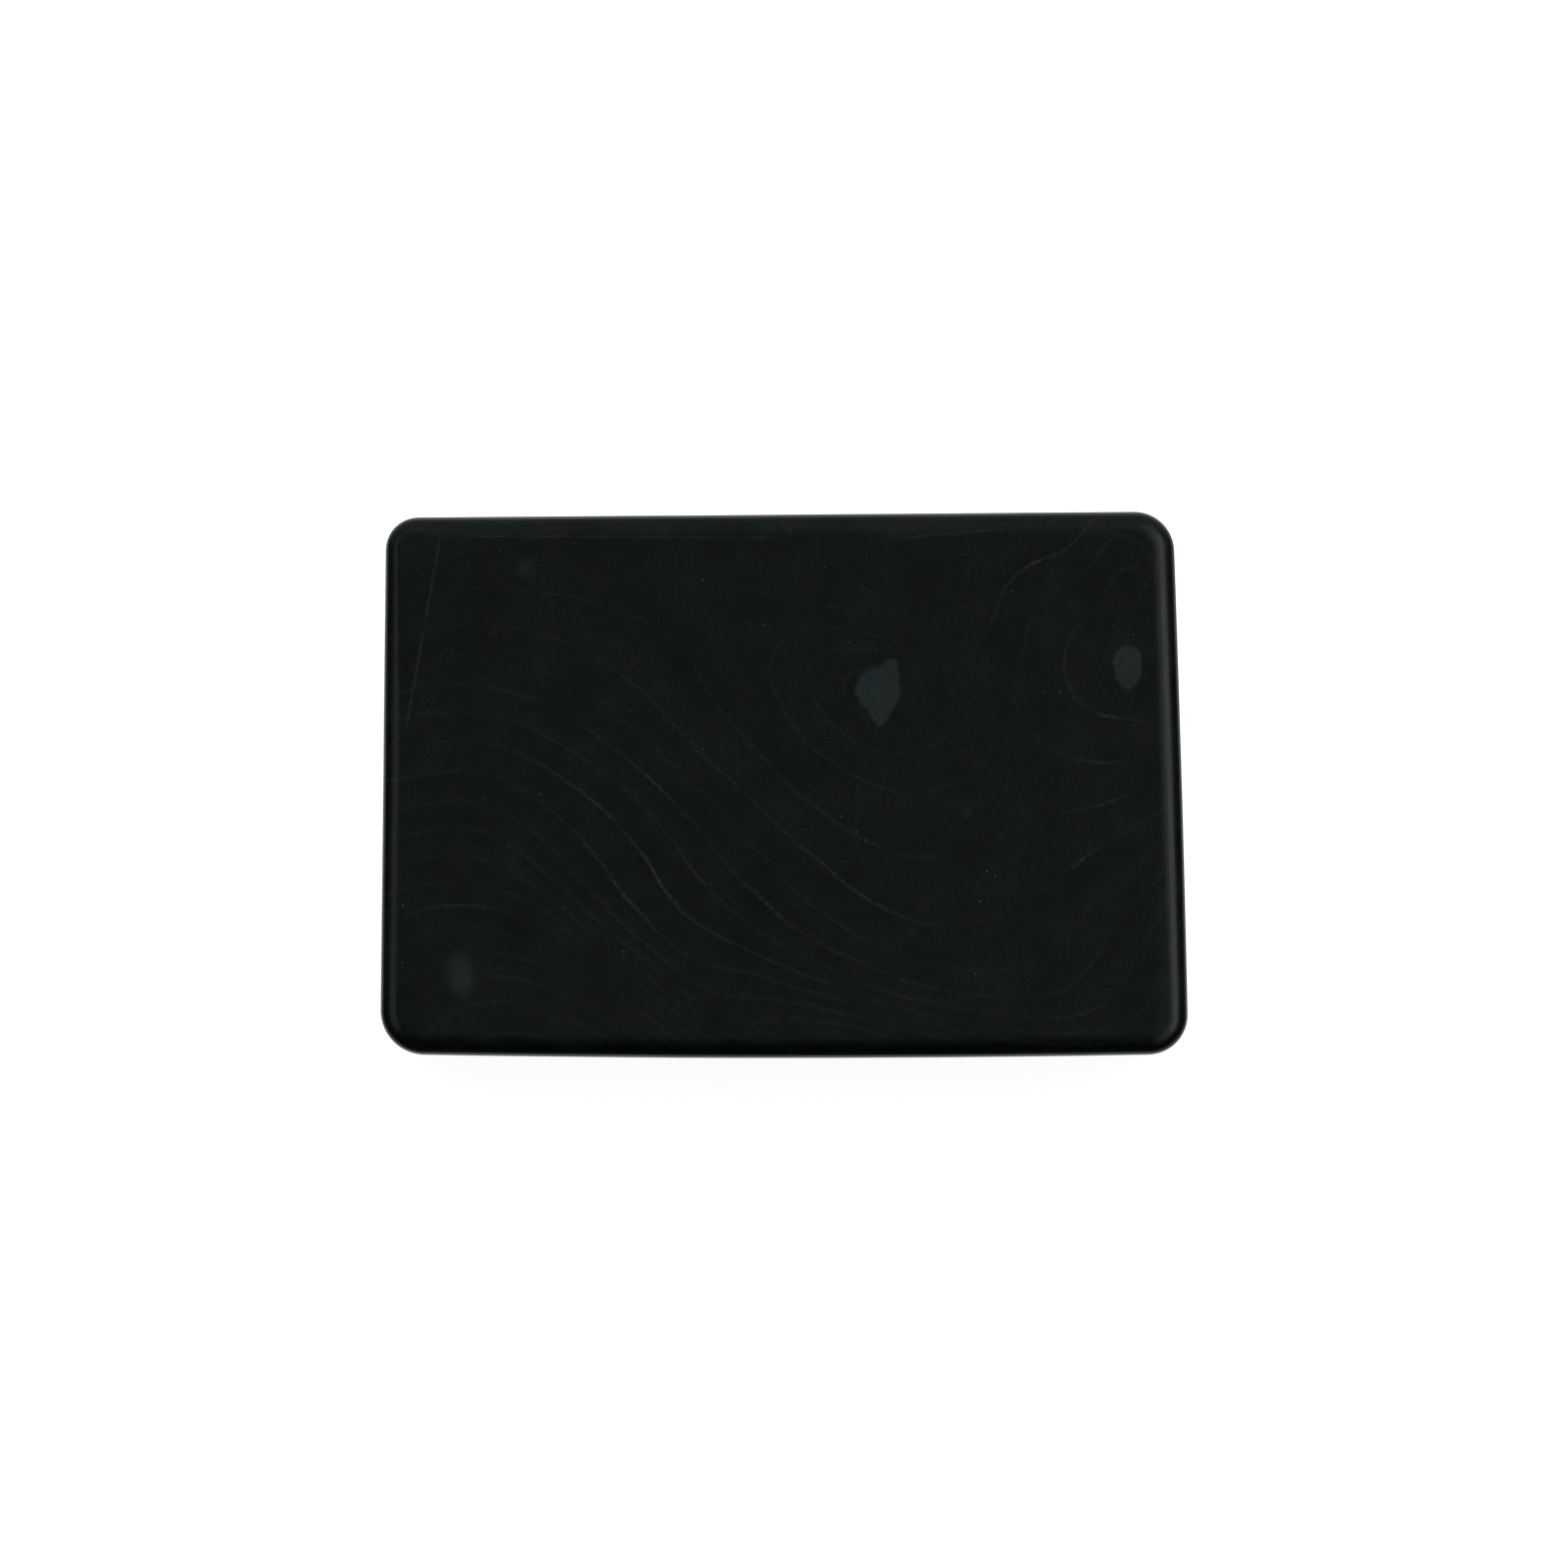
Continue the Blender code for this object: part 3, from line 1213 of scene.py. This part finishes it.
@dataclass(frozen=True)
class BrokenGrain(RockFinish):
    """The dull inside of a pit where a grain broke out."""

    roughness: float = 0.62
    paler: float = 4.5
    crystal_spacing: float = 0.12
    crystal_rarity: float = 0.3
    relief_strength: float = 0.5
    relief_depth: float = 0.03 * MM

    def material(self) -> bpy.types.Material:
        """Return the finished material."""
        material, bench, place = self.start("broken_grain")
        ground = bench.group(self.effects.mottle, Place=place).outputs
        pale = bench.group(
            self.effects.specks, Place=place, Spacing=self.crystal_spacing,
            Rarity=self.crystal_rarity,
        ).outputs["Mask"]
        colour = bench.blend(
            pale, bench.scaled(ground["Colour"], self.paler), Tone.PALE_GRAIN.rgba
        )
        return self.complete(material, bench, colour, self.roughness, {
            "Strength": self.relief_strength, "Distance": self.relief_depth,
            "Height": ground["Grain"],
        })


# ---------------------------------------------------------------- the stone


class Side(Enum):
    """The stone's four sides, counter-clockwise, in the order that the outline takes them."""

    FRONT = 0
    RIGHT = 1
    BACK = 2
    LEFT = 3


@dataclass(frozen=True)
class Patch:
    """Where a part of the map begins or is centred, and its scale."""

    u: float
    v: float
    scale: float

    def put(self, flat: Vector, up: float = 0.0) -> Vector:
        """Return where a flat place lies on the map, on a strip that is further up."""
        return Vector((self.u, self.v + up)) + flat * self.scale


@dataclass
class BakeMap:
    """The stone's own map: the upper face large, the underside and the sides below it."""

    blank: Blank
    name: str = "OFBake"
    upper: Patch = Patch(0.50, 0.345, 10.6)
    under: Patch = Patch(0.235, 0.843, 4.7)
    strips: Patch = Patch(0.475, 0.682, 5.3)
    strip_pitch: float = 0.0775

    def __post_init__(self) -> None:
        """Measure the outline once, for every point that is looked up on it."""
        long, wide = self.blank.long_cells, self.blank.wide_cells
        self.starts = (0, long, long + wide, 2 * long + wide)
        self.outline = self.blank.outline()
        self.nearest = kdtree.KDTree(len(self.outline))
        self.travelled = [0.0]
        for number, station in enumerate(self.outline):
            self.nearest.insert((*station.place, 0.0), number)
            after = self.outline[(number + 1) % len(self.outline)]
            self.travelled.append(self.travelled[-1] + (after.place - station.place).length)
        self.nearest.balance()

    def beside(self, spot: Vector) -> int:
        """Return the number of the outline's station nearest to a spot."""
        return self.nearest.find((spot.x, spot.y, 0.0))[1]

    def side_of(self, number: int) -> Side:
        """Return the side that a station is on."""
        return [side for side in Side if self.starts[side.value] <= number][-1]

    def spread(self, spot: Vector, drop: float) -> Vector:
        """Lay the rounded edge out flat round a face.

        Args:
            spot: The place to lay out.
            drop: How far it is below the face, towards the stone's middle.

        Returns:
            Where it comes to lie, seen from above.
        """
        radius = self.blank.edge_radius
        angle = math.acos(max(0.0, min(1.0, 1 - drop / radius)))
        out = self.outline[self.beside(spot)].facing
        return Vector((spot.x, spot.y)) + out * radius * (angle - math.sin(angle))

    def along_side(self, spot: Vector, number: int) -> Vector:
        """Place a spot on the strip of its side.

        Args:
            spot: The place on the side.
            number: The outline's station nearest to its face.

        Returns:
            Where it lies on the map.
        """
        side = self.side_of(number)
        station = self.outline[number]
        tangent = Vector((-station.facing.y, station.facing.x))
        ahead = (Vector((spot.x, spot.y)) - station.place).dot(tangent)
        along = self.travelled[number] - self.travelled[self.starts[side.value]] + ahead
        return self.strips.put(Vector((along, spot.z)), self.strip_pitch * side.value)

    def unwrap(self, mesh: bpy.types.Mesh) -> None:
        """Give a mesh the map.

        Args:
            mesh: The finished stone.
        """
        layer = mesh.uv_layers.new(name=self.name)
        top, lowest = self.blank.thickness, self.blank.edge_radius
        for face in mesh.polygons:
            number = self.beside(face.center)
            for corner in face.loop_indices:
                spot = mesh.vertices[mesh.loops[corner].vertex_index].co
                if face.center.z > top - lowest:
                    place = self.upper.put(self.spread(spot, top - spot.z))
                elif face.center.z < lowest:
                    place = self.under.put(self.spread(spot, spot.z))
                else:
                    place = self.along_side(spot, number)
                layer.data[corner].uv = place


@dataclass
class MassageStone:
    """The whole stone: one piece of rock, ground and polished."""

    thickness: float
    plan: GroundPlan = field(default_factory=GroundPlan)
    grinding: HandGrinding = field(default_factory=HandGrinding)
    pits: Pits = field(default_factory=Pits)
    effects: RockEffects = field(default_factory=RockEffects)

    @staticmethod
    def worked(piece: bpy.types.Object, tree: Tree, **inputs: object) -> None:
        """Run a geometry tree on a piece and keep the result as its plain mesh.

        Args:
            piece: The piece to work on.
            tree: The tree.
            inputs: The tree's inputs, by name with _ for each space.
        """
        modifier = piece.modifiers.new(tree.name, "NODES")
        modifier.node_group = tree
        for item in tree.interface.items_tree:
            if item.item_type == "SOCKET" and item.in_out == "INPUT":
                key = item.name.replace(" ", "_")
                if key in inputs:
                    modifier[item.identifier] = inputs[key]
        graph = bpy.context.evaluated_depsgraph_get()
        mesh = bpy.data.meshes.new_from_object(piece.evaluated_get(graph), depsgraph=graph)
        piece.modifiers.clear()
        before = piece.data
        piece.data = mesh
        bpy.data.meshes.remove(before)

    def build(self) -> bpy.types.Object:
        """Make the stone's shape and finish, and return it."""
        blank = Blank(self.thickness, self.plan)
        shape = blank.mesh(self.grinding.crisp())
        piece = bpy.data.objects.new("massage_stone", shape)
        bpy.context.scene.collection.objects.link(piece)
        self.worked(
            piece, self.grinding.tree(self.thickness),
            Ripple_Height=self.grinding.ripple_height, Ripple_Size=self.grinding.ripple_size,
        )
        polished = PolishedRock(self.thickness, self.effects).material()
        inside = BrokenGrain(self.thickness, self.effects).material()
        pits = self.pits
        self.worked(
            piece, pits.tree(), Density=pits.density, Smallest=pits.smallest,
            Largest=pits.largest, Group_Size=pits.group_size, Seed=pits.seed,
            Polished=polished, Inside=inside,
        )
        piece.data.name = "massage_stone"
        BakeMap(blank).unwrap(piece.data)
        return piece


# ---------------------------------------------------------------- the studio


@dataclass(frozen=True)
class SoftBox:
    """A soft light panel: its name, middle, what it faces, its sides and its radiance."""

    name: str
    place: Place
    aim: Place
    width: float
    height: float
    radiance: float

    def build(self) -> None:
        """Add the panel to the scene."""
        data = bpy.data.lights.new(self.name, "AREA")
        data.shape = "RECTANGLE"
        data.size = self.width
        data.size_y = self.height
        data.energy = self.radiance * math.pi * self.width * self.height
        data.diffuse_factor = 0.0
        light = bpy.data.objects.new(self.name, data)
        light.location = self.place
        towards = Vector(self.aim) - Vector(self.place)
        light.rotation_euler = towards.to_track_quat("-Z", "Y").to_euler()
        light.visible_camera = False
        bpy.context.scene.collection.objects.link(light)


def glow(bench: NodeBench, kind: str, strength: object) -> Socket:
    """Return a plain white glow, as a background or an emission."""
    return bench.wired(kind, {"Color": (1.0, 1.0, 1.0, 1.0), "Strength": strength}).outputs[0]


def split(bench: NodeBench, seen: Socket, mirrored: Socket, scattered: Socket) -> Socket:
    """Show one shader to the camera, one to mirror rays and one to all the others.

    Args:
        bench: The bench of the material or the world.
        seen: The shader for the camera.
        mirrored: The shader for reflections.
        scattered: The shader for everything else.

    Returns:
        The joined shader's socket.
    """
    path = bench.add("ShaderNodeLightPath").outputs
    joined = scattered
    for ray, shader in (("Is Glossy Ray", mirrored), ("Is Camera Ray", seen)):
        joined = bench.wired("ShaderNodeMixShader", {0: path[ray], 1: joined, 2: shader}).outputs[0]
    return joined


@dataclass(frozen=True)
class PaleFloor:
    """The floor's finish: white to the camera, dim in what the stone mirrors.

    footprint is half the stone's length and width. near is how the mirrored level falls
    from there outwards, and behind is how it rises again past the back.
    """

    paint: float = 0.8
    seen_glow: float = 0.93
    lit_glow: float = 0.25
    footprint: tuple[tuple[str, float], ...] = (("X", 0.045), ("Y", 0.030))
    near: tuple[float, float, float, float] = (0.005, 0.022, 0.25, 0.012)
    behind: tuple[float, float, float, float] = (0.034, 0.05, 0.0, 0.10)

    def material(self) -> bpy.types.Material:
        """Return the finished material."""
        material = bpy.data.materials.new("pale_floor")
        material.use_nodes = True
        nodes = material.node_tree.nodes
        nodes.remove(nodes["Principled BSDF"])
        bench = NodeBench(material.node_tree)
        lit = bench.wired("ShaderNodeBsdfDiffuse", {"Color": (*(self.paint,) * 3, 1.0)}).outputs[0]
        shining = glow(bench, "ShaderNodeEmission", self.seen_glow)
        seen = bench.wired("ShaderNodeAddShader", {0: lit, 1: shining}).outputs[0]
        place = bench.add("ShaderNodeTexCoord").outputs["Object"]
        spot = bench.wired("ShaderNodeSeparateXYZ", {0: place}).outputs
        away = [
            bench.maths("SUBTRACT", bench.maths("ABSOLUTE", spot[axis]), half)
            for axis, half in self.footprint
        ]
        level = bench.step(bench.maths("MAXIMUM", *away), *self.near)
        level = bench.maths("ADD", level, bench.step(spot["Y"], *self.behind))
        mirrored = glow(bench, "ShaderNodeEmission", level)
        dim = glow(bench, "ShaderNodeEmission", self.lit_glow)
        shader = split(bench, seen, mirrored, dim)
        bench.feed(nodes["Material Output"].inputs["Surface"], shader)
        return material


@dataclass(frozen=True)
class Room:
    """The room's light: white to the camera, dim and soft in the stone.

    depths is how its mirrored level rises from the front to the back, and ends holds, for
    the right and for the left end, which way it is, where its glow begins and is full,
    and its strength. key is the direction of the light that falls on the rock itself.
    """

    depths: tuple[float, float, float, float] = (-0.88, -0.1, 0.002, 0.080)
    raised: tuple[float, float] = (0.08, 0.60)
    ends: tuple[tuple[float, float, float, float], ...] = (
        (1.0, 0.0, 0.55, 0.42),
        (-1.0, 0.2, 0.95, 0.08),
    )
    key: Place = (0.05, 0.86, 0.50)
    key_focus: float = 4.0
    key_level: float = 2.15

    def build(self) -> None:
        """Make it the scene's world."""
        world = bpy.data.worlds.new("studio")
        world.use_nodes = True
        bpy.context.scene.world = world
        bench = NodeBench(world.node_tree)
        nodes = world.node_tree.nodes
        nodes.remove(nodes["Background"])
        direction = bench.add("ShaderNodeTexCoord").outputs["Generated"]
        part = bench.wired("ShaderNodeSeparateXYZ", {0: direction}).outputs
        mirror = bench.step(part["Y"], *self.depths)
        raised = bench.step(part["Z"], *self.raised)
        for way, low, high, strength in self.ends:
            across = bench.maths("MULTIPLY", part["X"], way)
            end = bench.maths("MULTIPLY", bench.step(across, low, high, 0.0, strength), raised)
            mirror = bench.maths("ADD", mirror, end)
        key = Vector(self.key).normalized()
        facing = bench.vectors("DOT_PRODUCT", direction, key, number=True)
        lobe = bench.maths("POWER", bench.maths("MAXIMUM", facing, 0.0), self.key_focus)
        fill = bench.maths("MULTIPLY", lobe, self.key_level)
        shades = (glow(bench, "ShaderNodeBackground", level) for level in (1.0, mirror, fill))
        bench.feed(nodes["World Output"].inputs["Surface"], split(bench, *shades))


@dataclass
class Studio:
    """A plain pale floor, soft panels at both ends of the stone, and the camera above."""

    camera_place: Place = (-0.03 * MM, 0.10 * MM, 1.4675)
    lens: float = 300.0
    floor_size: float = 8.0
    panels: tuple[SoftBox, ...] = (
        SoftBox("left_panel", (-0.5, 0.0, 0.36), (0.0, 0.0, 0.36), 0.70, 0.38, 0.20),
        SoftBox("right_panel", (0.5, 0.0, 0.37), (0.0, 0.0, 0.37), 0.70, 0.42, 0.48),
    )

    def floor(self) -> bpy.types.Object:
        """Return the floor, level with the stone's underside."""
        half = self.floor_size / 2
        mesh = bpy.data.meshes.new("floor")
        ring = [(-half, -half, 0.0), (half, -half, 0.0), (half, half, 0.0), (-half, half, 0.0)]
        mesh.from_pydata(ring, [], [(0, 1, 2, 3)])
        mesh.materials.append(PaleFloor().material())
        floor = bpy.data.objects.new("floor", mesh)
        bpy.context.scene.collection.objects.link(floor)
        return floor

    def camera(self) -> None:
        """Hang the camera straight above the stone."""
        data = bpy.data.cameras.new("camera")
        data.lens = self.lens
        data.sensor_width = 36.0
        data.clip_start, data.clip_end = 0.01, 100.0
        camera = bpy.data.objects.new("camera", data)
        camera.location = self.camera_place
        bpy.context.scene.collection.objects.link(camera)
        bpy.context.scene.camera = camera

    def build(self) -> bpy.types.Object:
        """Set up the studio and return its floor."""
        Room().build()
        for panel in self.panels:
            panel.build()
        self.camera()
        bpy.context.scene.view_settings.view_transform = "Standard"
        return self.floor()


def corners_of(box: tuple[Vector, Vector]) -> list[list[float]]:
    """Return a box's two corners as plain lists."""
    return [list(corner) for corner in box]


def main() -> None:
    """Build the stone and the studio."""
    logging.basicConfig(level=logging.INFO, format="%(name)s: %(message)s")
    before = corners_of(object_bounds())
    stone = MassageStone(thickness=before[1][2])
    piece = stone.build()
    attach(piece, "root")
    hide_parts("stone")
    log.info("%s: %d faces", piece.name, len(piece.data.polygons))
    floor = Studio().build()
    log.info("%s: %d face", floor.name, len(floor.data.polygons))


if __name__ == "__main__":
    main()
